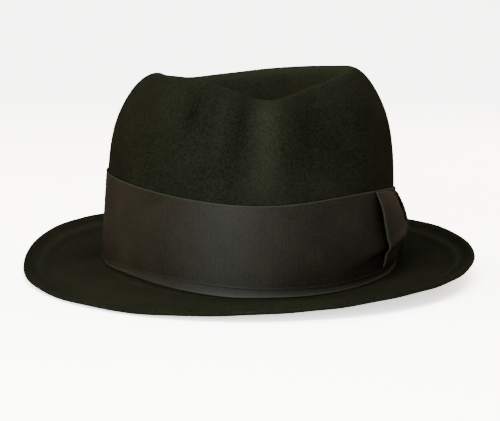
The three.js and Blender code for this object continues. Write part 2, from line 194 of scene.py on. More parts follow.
# Sections of a bow wing from the knot to its open end: along is a share of the wing's length, tall
# and rear_tall of the bow's height for the front and the rear wing, and proud and puff of how far
# the front and the rear wing stand off.
WING_COLUMNS = ("along", "tall", "rear_tall", "proud", "puff", "pleat")
WING = np.array((
    (0.03, 0.26, 0.40, 0.50, 0.60, 1.0),
    (0.16, 0.28, 0.60, 0.55, 0.80, 1.0),
    (0.30, 0.36, 0.86, 0.64, 1.05, 0.8),
    (0.42, 0.62, 0.96, 0.78, 1.10, 0.5),
    (0.54, 0.92, 0.98, 0.90, 1.05, 0.2),
    (0.75, 1.00, 1.00, 0.96, 1.00, 0.0),
    (1.00, 1.00, 1.00, 1.00, 1.00, 0.0),
))

# How far a wing's open edge stands off, from its lower corner (-1) to its upper corner (1)
WING_EDGE = {-1: 0, -0.74: 0.34, -0.44: 0.52, -0.2: 0.62, 0.14: 0.64, 0.54: 0.54, 1: 0}

# Wear of the level land that the hat rests on
LAND_WEAR = 0.5
# Painted highlight along a ribbon's edges: how far in it reaches, in metres, and how light it is on
# the two round ribbons and on the bow
EDGE_LIGHT = 0.00055
BAND_EDGE_HIGHLIGHT = 0.5
BOW_EDGE_HIGHLIGHT = 0.4
# Where the painted highlight on the edges starts, as a share of the way out, on a wing and on the
# knot
WING_EDGE_START = 0.97
KNOT_EDGE_START = 0.8
# Painted light over the whole under ribbon, and on a wing below these places across it
UNDER_PAINTED_LIGHT = 0.4
WING_FOOT_PAINTED_LIGHT = 0.35
WING_FOOT = (-0.3, -0.6)

# Noises that vary the felt's wear: waves in each grain of the nap, detail, roughness, distortion,
# and how much each adds
FELT_NOISES = (
    ("patches", 0.033, 4, 0.6, 0, 0.4),
    ("tufts", 0.4, 3, 0.7, 0, 0.2),
    ("grain", 1, 5, 0.75, 0, 1.8),
    ("fibre", 3, 3, 0.8, 1.2, 1.8),
)
# The same for the ribbon's colour, in waves to a rib
RIBBON_NOISES = (
    ("threads", 1, 3, 0.75, 0, 4.0),
    ("cloud", 0.0405, 4, 0.65, 0, 1.2),
)
# Height of the fibres beside the grain's, and of the threads beside the ribs'
FIBRE_HEIGHT = 0.6
THREAD_HEIGHT = 1.6
# The ribbon's colour is this light between its ribs, and lighter by this much on them: a painted
# shade between the ribs
RIBBON_LIGHT = 0.3
RIB_LIGHT = 0.14

# How finely the surfaces are cut
FELT_BEARINGS = 240
CROWN_RINGS = 104
ROOT_RINGS = 10
BRIM_RINGS = 24
LIP_RINGS = 9
RIBBON_BEARINGS = 480
BAND_ROWS = 48
UNDER_ROWS = 12
WING_STEPS = 44
WING_ACROSS = 48
KNOT_STEPS = 14
BRIM_SAMPLES = 400
BISECTIONS = 26

# Where the felt's rings lie: on the brim's upper face they start this far from the break and stop
# this far from the welt, and on its under face they run between two shares of its width. The
# crown's inner rings leave out the last ones above the level land.
BRIM_START = 0.04
WELT_MARGIN = 0.06
UNDER_BRIM = (0.97, 0.2)
LAND_RINGS = 3
# The lip's direction is taken over this much of the profile, and the lip is round to this angle
LIP_STEP = 0.1
LIP_ANGLE = 80

# Bow: its strips bulge as 1 less a power of the distance from their middle, a wing has this many
# pleats and opens between two shares of its length, and the knot rolls in at its edges and folds a
# little along its width
WING_BULGE_POWER = 2.4
KNOT_BULGE_POWER = 1.8
PLEATS = 3
WING_OPENS = (0.15, 0.95)
KNOT_ROLL = 0.12
KNOT_FOLD = 0.0002
KNOT_FOLDS = 3

# A ribbon's edges are rolled: height of the roll in ribbon thicknesses, its reach in widths, and
# how far in from each face the edge itself is, in thicknesses
EDGE_ROLL = 0.25
EDGE_REACH = 0.012
EDGE_INSET = 0.3

# Where the camera looks, and its place as shares of its distance to the side and to the back
VIEW_TARGET = (0.0019, 0.00075, 0.0346)
CAMERA_SIDE = 0.1045
CAMERA_BACK = 0.9945

# Soft lights round the hat. Each has its name, the power of the stage that it takes a share of, the
# share, its place, what it faces, its size and its colour.
LIGHTS = (
    ("key", "key_power", 1, (-0.62, -1.15, 0.3), (0, 0, 0.05), (1.1, 0.5), (0.93, 1, 1)),
    ("top", "top_power", 1, (-0.1, -0.7, 1.3), (0, 0, 0), (1.0, 1.0), (1, 0.98, 0.92)),
    ("warm_left", "key_power", 0.28, (-1.1, 0.6, 0.4), (0, 0, 0.06), (0.5, 0.7), (1, 0.58, 0.16)),
    ("warm_right", "key_power", 0.28, (0.95, 0.75, 0.35), (0, 0, 0.05), (0.4, 0.5), (1, 0.7, 0.36)),
    ("sweep_left", "sweep_power", 1, (-1.3, 0.9, 1.6), (0, 1.8, 0), (1, 0.6), (1, 1, 1)),
    ("sweep_right", "sweep_power", 1, (1.3, 0.9, 1.6), (0, 1.8, 0), (1, 0.6), (1, 1, 1)),
)


# Settings

def length(name, description, default, low, high):
    """A setting that holds a length in metres."""
    return FloatProperty(
        name=name, description=description, default=default, min=low, max=high,
        subtype="DISTANCE", unit="LENGTH")


def tint(name, description, default):
    """A setting that holds a colour."""
    return FloatVectorProperty(
        name=name, description=description, default=default, size=3, min=0, max=1,
        subtype="COLOR")


class HatSizes(PropertyGroup):
    head_width: length("Head Width", "Width of the crown's foot, ear to ear", 0.165, 0.13, 0.2)
    head_length: length(
        "Head Length", "Length of the crown's foot, front to back", 0.206, 0.17, 0.24)
    crown_height: length(
        "Crown Height", "Height of the crown's rim above the brim", 0.116, 0.08, 0.14)
    brim_width: length(
        "Brim Width", "Width of the brim from the crown to its lip", 0.0455, 0.03, 0.08)
    felt_thick: length("Felt Thickness", "Thickness of the felt", 0.002, 0.001, 0.003)
    welt_width: length("Welt Width", "Width of the lip that is turned over", 0.008, 0.004, 0.015)
    welt_thick: length(
        "Welt Step", "How far the turned-over lip stands above the brim", 0.001, 0.0003, 0.002)
    dent_depth: length("Dent Depth", "Depth of the dent along the top", 0.027, 0.01, 0.04)
    pinch_depth: length("Pinch Depth", "Depth of the pinches at the front", 0.010, 0, 0.02)
    side_rise: length("Side Rise", "How far the break lifts at the sides", 0.0046, 0, 0.01)
    foot_flare: length(
        "Foot Flare", "How far the crown's foot flares on the wearer's right", 0.0024, 0, 0.006)
    rest_land: length("Rest Land", "Width of the level land under the break", 0.004, 0.001, 0.008)
    wave_height: length("Felt Waves", "Height of the soft swells of worn felt", 0.00045, 0, 0.002)


class RibbonSizes(PropertyGroup):
    width: length("Ribbon Width", "Width of the ribbon round the crown", 0.048, 0.02, 0.06)
    thick: length("Ribbon Thickness", "Thickness of the ribbon", 0.0007, 0.0003, 0.0012)
    clearance: length(
        "Clearance", "Gap between the ribbon and what it lies on", 0.0003, 0.0001, 0.001)
    under_foot: length(
        "Under Ribbon Foot", "Height of the under ribbon's lower edge", 0.0008, 0.0005, 0.004)
    under_width: length("Under Ribbon Width", "Width of the under ribbon", 0.0106, 0.01, 0.02)
    pull_height: length(
        "Pull Height", "Height of the pulls in the band by the bow", 0.0024, 0, 0.004)


class BowSizes(PropertyGroup):
    bearing: FloatProperty(
        name="Bow Bearing", description="Where the bow is round the head, in degrees",
        default=80, min=45, max=135)
    height: length("Bow Height", "Height of the bow", 0.042, 0.02, 0.05)
    lift: length(
        "Bow Lift", "Height of the bow's middle above the band's middle", -0.0006, -0.004, 0.004)
    wing_length: length(
        "Wing Length", "Length of a wing from the knot to its open end", 0.058, 0.03, 0.08)
    wing_rise: length(
        "Wing Rise", "How far a wing rises from the knot to its open end", 0.0014, 0, 0.006)
    wing_slant: length(
        "Wing Slant", "How far a wing's upper corner reaches past its middle", 0.004, 0, 0.01)
    wing_proud: length(
        "Wing Stand-Off", "How far a wing's open edge stands off the band", 0.0052, 0.001, 0.01)
    knot_width: length("Knot Width", "Width of the knot, front to back", 0.015, 0.006, 0.025)
    knot_proud: length(
        "Knot Stand-Off", "How far the knot stands off the band", 0.0056, 0.002, 0.01)
    pleat_depth: length(
        "Pleat Depth", "Depth of the pleats where a wing enters the knot", 0.0008, 0, 0.003)
    crease_depth: length(
        "Crease Depth", "Depth of the fold in from a wing's open edge", 0.0005, 0, 0.003)
    knot_height: length("Knot Height", "Height of the knot", 0.036, 0.02, 0.05)
    strip_thick: length(
        "Bow Ribbon Thickness", "Thickness of the bow's ribbon", 0.0008, 0.0003, 0.0012)


class FinishSettings(PropertyGroup):
    felt_colour: tint("Felt Colour", "Colour of the felt", (0.00045, 0.00052, 0.00024))
    # The lighter felt colour, also used for painted light
    felt_worn_and_lit_colour: tint(
        "Worn And Lit Felt Colour", "Colour of the felt where its nap is rubbed or light is painted", (0.0035, 0.0038, 0.0023))
    nap_grain: length("Nap Grain", "Size of the felt's nap", 0.0011, 0.0003, 0.005)
    ribbon_colour: tint("Ribbon Colour", "Colour of the ribbon", (0.0028, 0.0024, 0.0010))
    ribbon_valley_colour: tint(
        "Ribbon Valley Colour", "Colour between the ribbon's ribs", (0.0003, 0.00025, 0.00012))
    # Colour of the painted highlights on the ribbon's edges and of the painted light on the under
    # ribbon and a wing's lower part
    ribbon_painted_light_colour: tint(
        "Ribbon Painted Light Colour", "Colour of the painted light and highlights on the ribbon", (0.0066, 0.0068, 0.0050))
    rib_pitch: length(
        "Rib Pitch", "Distance from one rib of the ribbon to the next", 0.0009, 0.0004, 0.003)


class StageSettings(PropertyGroup):
    floor_colour: tint(
        "Floor Colour", "Colour of the floor and the sweep behind it", (0.86, 0.86, 0.84))
    floor_glow: FloatProperty(
        name="Floor Glow", description="Strength of the light that the floor gives off",
        default=1.5, min=0, max=10)
    key_power: FloatProperty(
        name="Key Light", description="Power of the light beside the camera, in watts",
        default=120, min=0, max=500)
    top_power: FloatProperty(
        name="Top Light", description="Power of the soft light overhead, in watts",
        default=150, min=0, max=1000)
    sweep_power: FloatProperty(
        name="Sweep Light", description="Power of the lights on the sweep, in watts",
        default=95, min=0, max=2000)
    room_light: FloatProperty(
        name="Room Light", description="Strength of the even light all round", default=1.0, min=0)
    camera_height: length("Camera Height", "Height of the camera above the floor", 0.152, 0.01, 2)
    camera_distance: length(
        "Camera Distance", "Distance of the camera from the hat's middle", 0.85, 0.3, 5)
    lens: FloatProperty(
        name="Lens", description="Focal length of the camera, in millimetres",
        default=105.84, min=20, max=300)


# Small maths

def unit(ways):
    return ways / np.linalg.norm(ways, axis=-1, keepdims=True)


def turned_from(middle, bearing, width):
    """Turn from a middle bearing to each bearing, the shorter way round, in widths."""
    return ((bearing[:, None] - middle + 180) % 360 - 180) / width


def smooth_step(low, high, value):
    share = np.clip((value - low) / (high - low), 0, 1)
    return share * share * (3 - 2 * share)


def spline_weights(share):
    """Weights of the four control values of a cubic B-spline."""
    rest = 1 - share
    return (
        rest ** 3 / 6,
        (3 * share ** 3 - 6 * share ** 2 + 4) / 6,
        (3 * rest ** 3 - 6 * rest ** 2 + 4) / 6,
        share ** 3 / 6,
    )


def along_spline(points, place):
    """Points of a B-spline through control points, which run along the second axis."""
    count = points.shape[1]
    ends = (2 * points[:, :1] - points[:, 1:2], 2 * points[:, -1:] - points[:, -2:-1])
    padded = np.concatenate((ends[0], points, ends[1]), axis=1)
    place = np.clip(place, 0, count - 1)
    start = np.minimum(np.floor(place).astype(int), count - 2)
    rows = np.arange(len(points))[:, None]
    weights = spline_weights(place - start)
    return sum(w[..., None] * padded[rows, start + k] for k, w in enumerate(weights))


def smooth_table(table, place):
    """Values of a short table at places between its own, joined by smooth curves."""
    places, values = np.array(list(table.items()), float).T
    slopes = np.gradient(values, places)
    k = np.clip(np.searchsorted(places, place, side="right") - 1, 0, len(places) - 2)
    gap = places[k + 1] - places[k]
    share = np.clip((place - places[k]) / gap, 0, 1)
    a, b = values[k], values[k + 1]
    bend = share * (1 - share)
    straight = a + (b - a) * share * share * (3 - 2 * share)
    return straight + gap * bend * (slopes[k] * (1 - share) - slopes[k + 1] * share)


# Head oval and what changes round it

def around(column, bearing):
    values = ROUND[:, ROUND_COLUMNS.index(column)]
    place = (np.asarray(bearing) / 360) % 1 * len(values)
    start = np.floor(place).astype(int)
    weights = spline_weights(place - start)
    return sum(w * values[(start + k - 1) % len(values)] for k, w in enumerate(weights))


def oval(hat, bearing, wide=1.0, long=1.0):
    s, c = np.sin(np.radians(bearing)), np.cos(np.radians(bearing))
    reach = (np.abs(s) ** OVAL_POWER + np.abs(c) ** OVAL_POWER) ** (-1 / OVAL_POWER)
    x = hat.head_width / 2 * wide * s * reach * (1 - EGG * c)
    return np.stack((x, -hat.head_length / 2 * long * c * reach), axis=-1)


def outward(hat, bearing):
    turn = 0.05
    run = oval(hat, bearing + turn) - oval(hat, bearing - turn)
    return unit(np.stack((run[..., 1], -run[..., 0]), axis=-1))


def break_rise(hat, bearing):
    flat = np.sin(np.radians(FLAT_ARC)) ** 2
    side = np.sin(np.radians(bearing)) ** 2
    return hat.side_rise * np.maximum(0, (side - flat) / (1 - flat))


def break_plan(hat, bearing):
    flare = hat.foot_flare * around("flare", bearing)
    return oval(hat, bearing) + outward(hat, bearing) * flare[..., None]


# Felt surface

def brim_profile(hat, bearing):
    """Control points of the brim's profile at each bearing, from the lip inwards."""
    foot, away = break_plan(hat, bearing), outward(hat, bearing)
    slopes = np.stack([around(name, bearing) for name in ("root", "inner", "outer", "lip")], -1)
    reach, height, last, points = 0, break_rise(hat, bearing), 0, []
    for share in BRIM_SHARES[::-1]:
        place = np.interp((share + last) / 2, SLOPE_SHARES, range(len(SLOPE_SHARES)))
        low = min(int(place), len(SLOPE_SHARES) - 2)
        slope = np.radians(slopes[:, low] + (slopes[:, low + 1] - slopes[:, low]) * (place - low))
        reach = reach + np.cos(slope) * (share - last) * hat.brim_width
        height = height + np.sin(slope) * (share - last) * hat.brim_width
        plan = foot + away * reach[:, None]
        points.append(np.column_stack((plan, height)))
        last = share
    return np.stack(points[::-1], axis=1)


def crown_profile(hat, bearing):
    """Control points of the crown's profile at each bearing, from the break to the crease."""
    rim = hat.crown_height * around("rim", bearing)
    dent = hat.dent_depth * around("dent", bearing)
    lean = around("lean", bearing) - 1
    rise = break_rise(hat, bearing)
    flare = outward(hat, bearing) * (hat.foot_flare * around("flare", bearing))[:, None]
    points = []
    for values in CROWN:
        row = dict(zip(CROWN_COLUMNS, values))
        grow = 1 + lean * row["lean"]
        plan = oval(hat, bearing, row["wide"] * grow, row["long"] * grow) + flare * row["flare"]
        height = rise * (1 - row["up"]) + rim * row["up"] - dent * row["sink"]
        points.append(np.column_stack((plan, height)))
    return np.stack(points, axis=1)


def near_spot(hat, points, bearing, middle, width, up, tall):
    """How near each point is to the middle of a spot on the crown, from 0 to 1."""
    above = (points[..., 2] / hat.crown_height - up) / tall
    return np.exp(-turned_from(middle, bearing, width) ** 2 - above ** 2)


def press_pinches(hat, points, bearing, u):
    reach = np.hypot(points[..., 0], points[..., 1])
    inward = np.clip(reach / (hat.head_width / 4), 0, 1) / np.maximum(reach, 1e-9)
    push = np.zeros_like(reach)
    for *spot, deep in PINCHES:
        push += hat.pinch_depth * deep * near_spot(hat, points, bearing, *spot)
    push = np.where(u > BREAK, push * inward, 0)
    points[..., 0] -= push * points[..., 0]
    points[..., 1] -= push * points[..., 1]
    return points


def felt_profile(hat, bearing):
    return np.concatenate((brim_profile(hat, bearing), crown_profile(hat, bearing)), axis=1)


def on_profile(hat, profile, bearing, u):
    return press_pinches(hat, along_spline(profile, u), bearing, u)


def felt_points(hat, bearing, u):
    """Points of the felt's upper face, a row of places u along the profile for each bearing."""
    return on_profile(hat, felt_profile(hat, bearing), bearing, u)


def felt_normals(hat, bearing, u):
    turn, step = 0.5, 0.02
    low = np.clip(u - step, 0, LAST - 2 * step)
    round_run = felt_points(hat, bearing + turn, u) - felt_points(hat, bearing - turn, u)
    profile = felt_profile(hat, bearing)
    ahead = on_profile(hat, profile, bearing, low + 2 * step)
    up_run = ahead - on_profile(hat, profile, bearing, low)
    return unit(np.cross(round_run, up_run))


def brim_place(share):
    """Place along the profile of shares of the brim's width."""
    line = np.concatenate((BRIM_SHARES, (0, 0)))[None, :, None]
    place = np.linspace(0, BREAK, BRIM_SAMPLES)
    return np.interp(-np.asarray(share), -along_spline(line, place[None])[0, :, 0], place)


def side_place(hat, bearing, height):
    """Place along the profile where the crown's side reaches each height."""
    profile = felt_profile(hat, bearing)
    low = np.full(height.shape, BREAK - 0.5)
    high = np.full(height.shape, float(ABOVE_RIBBON))
    for _ in range(BISECTIONS):
        middle = (low + high) / 2
        below = on_profile(hat, profile, bearing, middle)[..., 2] < height
        low, high = np.where(below, middle, low), np.where(below, high, middle)
    return (low + high) / 2


def beside_crown(hat, bearing, height, off):
    u = side_place(hat, bearing, height)
    return felt_points(hat, bearing, u) + felt_normals(hat, bearing, u) * off[..., None]


def felt_swell(hat, points, u):
    """Soft swells of worn felt, none where the ribbon holds the felt."""
    height = sum(
        np.sin(points @ (np.array(way) * 2 * np.pi / span) + start)
        for span, way, start in FELT_WAVES
    ) / len(FELT_WAVES)
    crown = smooth_step(ABOVE_RIBBON - 2, ABOVE_RIBBON, u) * smooth_step(LAST, LAST - 3, u)
    brim = smooth_step(BREAK - 1, BREAK - 4, u)
    return hat.wave_height * height * (crown + brim)


def felt_tone_and_painted_light(hat, points, bearing, u):
    """How light the felt is at each of its points, from 0 to 1: its tone, with painted light and
    shade.
    """
    # The felt's tone, with painted highlights along the welt's fold and along the rim
    wear_and_painted_light = smooth_table(FELT_TONE_AND_HIGHLIGHTS, u)
    # Painted light on the crown's ridges and painted shade in its pinches
    for *spot, add in CROWN_LIGHT_AND_SHADE:
        wear_and_painted_light += add * near_spot(hat, points, bearing, *spot) * (u > BREAK)
    # Painted light on the brim's front and painted shade beside the bow
    for middle, width, add in BRIM_LIGHT_AND_SHADE:
        wear_and_painted_light += add * np.exp(-turned_from(middle, bearing, width) ** 2) * (u < BREAK)
    return np.clip(wear_and_painted_light, 0, 1)


# Meshes from grids of points

def grid_faces(rows, columns, close_rows, close_columns):
    """Corners of each face of a grid, as row and column numbers that run on past a closed edge."""
    row, column = np.meshgrid(
        np.arange(rows if close_rows else rows - 1),
        np.arange(columns if close_columns else columns - 1),
        indexing="ij",
    )
    corners = ((0, 0), (0, 1), (1, 1), (1, 0))
    stacked = [np.stack((row + down, column + right), axis=-1) for down, right in corners]
    return np.stack(stacked, axis=2).reshape(-1, 4, 2)


def end_caps(rows, columns):
    """Faces that close the first and the last row across their width, where the first half of a
    row faces its second half."""
    faces = []
    for j in range(columns // 2 - 1):
        loop = (j, j + 1, columns - 2 - j, columns - 1 - j)
        faces.append([(0, k) for k in loop[::-1]])
        faces.append([(rows - 1, k) for k in loop])
    return np.array(faces)


def signed_volume(points, faces):
    a, b, c, d = (points[faces[:, k]] for k in range(4))
    return (np.cross(a, b) * c).sum() + (np.cross(a, c) * d).sum()


def add_object(name, data):
    thing = bpy.data.objects.new(name, data)
    bpy.context.collection.objects.link(thing)
    return thing


def smooth_object(name, points, faces):
    mesh = bpy.data.meshes.new(name)
    mesh.from_pydata(points.tolist(), [], faces.tolist())
    mesh.polygons.foreach_set("use_smooth", [True] * len(faces))
    return add_object(name, mesh)


def make_piece(name, grid, runs, closed, wear_and_painted_light, caps=False, lengthwise="columns"):
    """A mesh from a grid of points. runs are the distances along its rows and its columns that
    its texture coordinates hold, each one longer than the grid where the grid is closed. The wear
    values say how rubbed each point is, or how much light or shade is painted on it, from 0 to 1."""
    rows, columns = grid.shape[:2]
    corners = grid_faces(rows, columns, "rows" in closed, "columns" in closed)
    if caps:
        corners = np.concatenate((corners, end_caps(rows, columns)))
    points = grid.reshape(-1, 3)
    faces = (corners[..., 0] % rows) * columns + corners[..., 1] % columns
    if signed_volume(points, faces) < 0:
        corners, faces = corners[:, ::-1], faces[:, ::-1]
    distances = [runs[0][corners[..., 0]], runs[1][corners[..., 1]]]
    if lengthwise == "columns":
        distances = distances[::-1]
    coordinates = np.stack(distances, axis=-1).astype(np.float32)
    piece = smooth_object(name, points, faces)
    piece.data.uv_layers.new(name="run").data.foreach_set("uv", coordinates.ravel())
    # Each point's wear and its painted light and shade, read by the finishes
    layer = piece.data.attributes.new("wear_and_painted_light", "FLOAT", "POINT")
    layer.data.foreach_set("value", np.ravel(wear_and_painted_light).astype(np.float32))
    piece.data.update()
    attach(piece, "root")
    return piece


def runs_of(points, closed):
    """Distance along a line of points, with one step more where the line is closed."""
    line = np.vstack((points, points[:1])) if closed else points
    return np.concatenate(([0], np.cumsum(np.linalg.norm(np.diff(line, axis=0), axis=1))))


def lip_line(hat, bearing):
    """Points of the upper face at the lip, and the way out of the felt there."""
    points = felt_points(hat, bearing, np.tile((0, LIP_STEP), (len(bearing), 1)))
    return points[:, 0], unit(points[:, 0] - points[:, 1])


def hat_shift(hat):
    """From the break's own axes to the part's frame, found from the brim's outline."""
    lip, away = lip_line(hat, np.arange(0, 360, 6.0))
    edge = lip + away * (hat.felt_thick + hat.welt_thick) / 2
    middle = (edge.min(0) + edge.max(0)) / 2
    target = (FELT_LOW + FELT_HIGH) / 2
    return np.array((target.x - middle[0], target.y - middle[1], FELT_LOW.z + hat.felt_thick))


# Felt body

def with_wear(rings, wear_and_painted_light):
    """Rings of points with one wear for all of them as a fourth value."""
    return np.concatenate((rings, np.full((*rings.shape[:-1], 1), wear_and_painted_light)), axis=-1)


def lifted_rings(hat, bearing, places, lifts):
    u = np.tile(places, (len(bearing), 1))
    points = felt_points(hat, bearing, u)
    lift = np.asarray(lifts) + felt_swell(hat, points, u)
    raised = points + felt_normals(hat, bearing, u) * lift[..., None]
    wear_and_painted_light = felt_tone_and_painted_light(hat, points, bearing, u)[..., None]
    return np.concatenate((raised, wear_and_painted_light), axis=-1).transpose(1, 0, 2)


def lip_rings(hat, bearing):
    """The lip is a half round from the upper to the lower face."""
    thick = hat.felt_thick + hat.welt_thick
    lip, away = lip_line(hat, bearing)
    at_lip = np.zeros((len(bearing), 1))
    normal = felt_normals(hat, bearing, at_lip)[:, 0]
    swell = felt_swell(hat, lip[:, None], at_lip)[:, 0]
    rings = []
    for angle in np.radians(np.linspace(LIP_ANGLE, -LIP_ANGLE, LIP_RINGS)):
        lift = hat.welt_thick - thick / 2 + np.sin(angle) * thick / 2 + swell
        rings.append(lip + normal * lift[:, None] + away * np.cos(angle) * thick / 2)
    return with_wear(np.stack(rings), FELT_TONE_AND_HIGHLIGHTS[0])


def land_rings(hat, bearing):
    """The underside of the break is pressed level where the hat rests on it."""
    foot, away = break_plan(hat, bearing), outward(hat, bearing)
    height = break_rise(hat, bearing) - hat.felt_thick
    plans = [foot + away * hat.rest_land * share for share in (1, 0.5, 0)]
    return with_wear(np.stack([np.column_stack((plan, height)) for plan in plans]), LAND_WEAR)


def felt_rings(hat, bearing):
    welt = 1 - hat.welt_width / hat.brim_width
    crown = np.linspace(LAST, BREAK + 1, CROWN_RINGS)
    root = np.linspace(BREAK + 1, BREAK, ROOT_RINGS)[1:]
    brim = brim_place(np.linspace(BRIM_START, welt - WELT_MARGIN, BRIM_RINGS))
    face = brim_place([welt + past * (1 - welt) for past in WELT_FACE])
    high = [height * hat.welt_thick for height in WELT_FACE.values()]
    upper_places = np.concatenate((crown, root, brim, face))
    upper_lifts = np.concatenate((np.zeros(len(crown) + len(root) + len(brim)), high))
    outer = brim_place(np.linspace(*UNDER_BRIM, BRIM_RINGS))
    inner = np.concatenate((root[::-1][LAND_RINGS:], crown[::-1]))
    under = -hat.felt_thick
    return np.concatenate((
        lifted_rings(hat, bearing, upper_places, upper_lifts),
        lip_rings(hat, bearing),
        lifted_rings(hat, bearing, outer, under),
        land_rings(hat, bearing),
        lifted_rings(hat, bearing, inner, under),
    ))


def make_felt_body(hat):
    bearing = np.arange(FELT_BEARINGS) * 360 / FELT_BEARINGS
    rings = felt_rings(hat, bearing)
    grid = rings[..., :3] + hat_shift(hat)
    runs = (runs_of(grid[:, 0], False), runs_of(grid[CROWN_RINGS // 3], True))
    return make_piece(
        "felt_shell", grid, runs, closed=("columns",), caps=True, wear_and_painted_light=rings[..., 3])


# Ribbons

def ribbon_edges(ribbon, bearing):
    return ribbon.width * around("foot", bearing), ribbon.width * around("top", bearing)


def band_stand_off(ribbon, share):
    """How far the inside of the band stands off the felt: its foot lies over the under ribbon."""
    step = ribbon.thick + ribbon.clearance
    return ribbon.clearance + step * (1 - np.clip(share, 0, 1))


def band_pull(ribbon, bearing, share):
    """Height of the pulls, ridges that the bow draws in the band."""
    high = np.zeros(np.broadcast(bearing, share).shape)
    for pull in PULLS:
        (b0, s0), (b1, s1) = pull["from"], pull["to"]
        along = np.clip((bearing - b0) / (b1 - b0), 0, 1)
        off_line = share - s0 - (s1 - s0) * along
        fade = smooth_step(1, PULL_FADE, along)
        fade = fade * smooth_step(b0 + PULL_HIDES[0], b0 + PULL_HIDES[1], bearing)
        flank = np.where(off_line < 0, pull["below"], pull["above"])
        high += pull["high"] * fade * np.exp(-(off_line / flank) ** 2)
    return ribbon.pull_height * high


def ribbon_section(rows):
    """Section of a ribbon with fine rolled edges, up its inner face and down its outer face: share
    of its width from the foot, and distance out in ribbon thicknesses."""
    even = np.linspace(0, 1, rows)
    share = (even + 2 * smooth_step(0, 1, even)) / 3
    near_edge = np.minimum(share, 1 - share)
    inset = np.where(near_edge < 1e-9, EDGE_INSET, 0)
    roll = EDGE_ROLL * np.exp(-(near_edge / EDGE_REACH) ** 2)
    inner = np.stack((share, inset), axis=1)
    outer = np.stack((share, 1 - inset + roll), axis=1)
    return np.vstack((inner, outer[::-1]))


def ring_ribbon(hat, ribbon, name, width, rows, face_painted_light, edges, offs):
    """A ribbon right round the crown. edges gives the heights of its foot and top, and offs how
    far its inside stands off the felt."""
    bearing = np.arange(RIBBON_BEARINGS) * 360 / RIBBON_BEARINGS
    section = ribbon_section(rows)
    share = np.tile(section[:, 0], (len(bearing), 1))
    low, high = (edge[:, None] for edge in edges(bearing))
    off = offs(bearing[:, None], share) + ribbon.thick * section[:, 1]
    grid = beside_crown(hat, bearing, low + (high - low) * share, off).transpose(1, 0, 2)
    runs = (np.append(section[:, 0], 0) * width, runs_of(grid[rows // 2], True))
    near_edge = np.minimum(section[:, 0], 1 - section[:, 0]) * width
    # Painted light over the face, and a painted highlight along both edges
    wear_and_painted_light = face_painted_light + BAND_EDGE_HIGHLIGHT * np.exp(-(near_edge / EDGE_LIGHT) ** 2)
    wear_and_painted_light = np.tile(wear_and_painted_light[:, None], (1, len(bearing)))
    piece = make_piece(name, grid + hat_shift(hat), runs, closed=("rows", "columns"), wear_and_painted_light=wear_and_painted_light)
    return piece


def make_band(hat, ribbon):
    return ring_ribbon(
        hat, ribbon, "band_ribbon", ribbon.width, BAND_ROWS, 0,
        lambda bearing: ribbon_edges(ribbon, bearing),
        lambda bearing, share: band_stand_off(ribbon, share) + band_pull(ribbon, bearing, share))


def make_under_ribbon(hat, ribbon):
    def edges(bearing):
        rise = break_rise(hat, bearing) + smooth_table(UNDER_RISE, bearing)
        return ribbon.under_foot + rise, ribbon.under_foot + rise + ribbon.under_width

    return ring_ribbon(
        hat, ribbon, "under_strip", ribbon.under_width, UNDER_ROWS, UNDER_PAINTED_LIGHT, edges,
        lambda bearing, share: ribbon.clearance + 0 * share)


# Bow

def off_band(hat, ribbon, bow, along, across, off):
    """Points off the band's outer face, at distances along the head from the bow's middle."""
    middle = np.array((bow.bearing - 0.5, bow.bearing + 0.5))
    per_degree = np.linalg.norm(np.diff(oval(hat, middle), axis=0))
    bearing = (bow.bearing - along / per_degree).ravel()
    foot, top = ribbon_edges(ribbon, bearing)
    height = (top + foot) / 2 + bow.lift + across.ravel()
    share = (height - foot) / (top - foot)
    out = band_stand_off(ribbon, share) + ribbon.thick + band_pull(ribbon, bearing, share)
    points = beside_crown(hat, bearing, height[:, None], (out + off.ravel())[:, None])
    return points.reshape(*along.shape, 3)


def out_and_back(values, step=0):
    """Rows of values out along one face, and back along the other a step further off."""
    return np.concatenate((values, values[:, ::-1] + step), axis=1)


def strip_piece(hat, ribbon, bow, name, along, rise, off, runs, lengthwise, wear_and_painted_light):
    """A strip off the band, a row for each section, out by its inner face and back by its outer."""
    section = out_and_back(off, bow.strip_thick)
    grid = off_band(hat, ribbon, bow, out_and_back(along), out_and_back(rise), section)
    width = np.concatenate((runs[1], runs[1][::-1], runs[1][:1]))
    return make_piece(
        name, grid + hat_shift(hat), (runs[0], width), closed=("columns",), caps=True,
        lengthwise=lengthwise, wear_and_painted_light=out_and_back(wear_and_painted_light))


def wing_bulge(across, open_share):
    """Stand-off across a wing: an even bulge at the knot, and the open edge's own curve."""
    even = 1 - np.abs(across) ** WING_BULGE_POWER
    edge = smooth_table(WING_EDGE, across)
    return even + (edge - even) * open_share


def wing_crease(bow, share, across):
    """Depth of the fold that runs in from the wing's open edge."""
    (s0, a0), (s1, a1) = WING_CREASE["from"], WING_CREASE["to"]
    along = np.clip((share - s0) / (s1 - s0), 0, 1)
    off_line = (across - a0 - (a1 - a0) * along) / WING_CREASE["across"]
    return bow.crease_depth * smooth_step(1, WING_CREASE["fade"], along) * np.exp(-off_line ** 2)


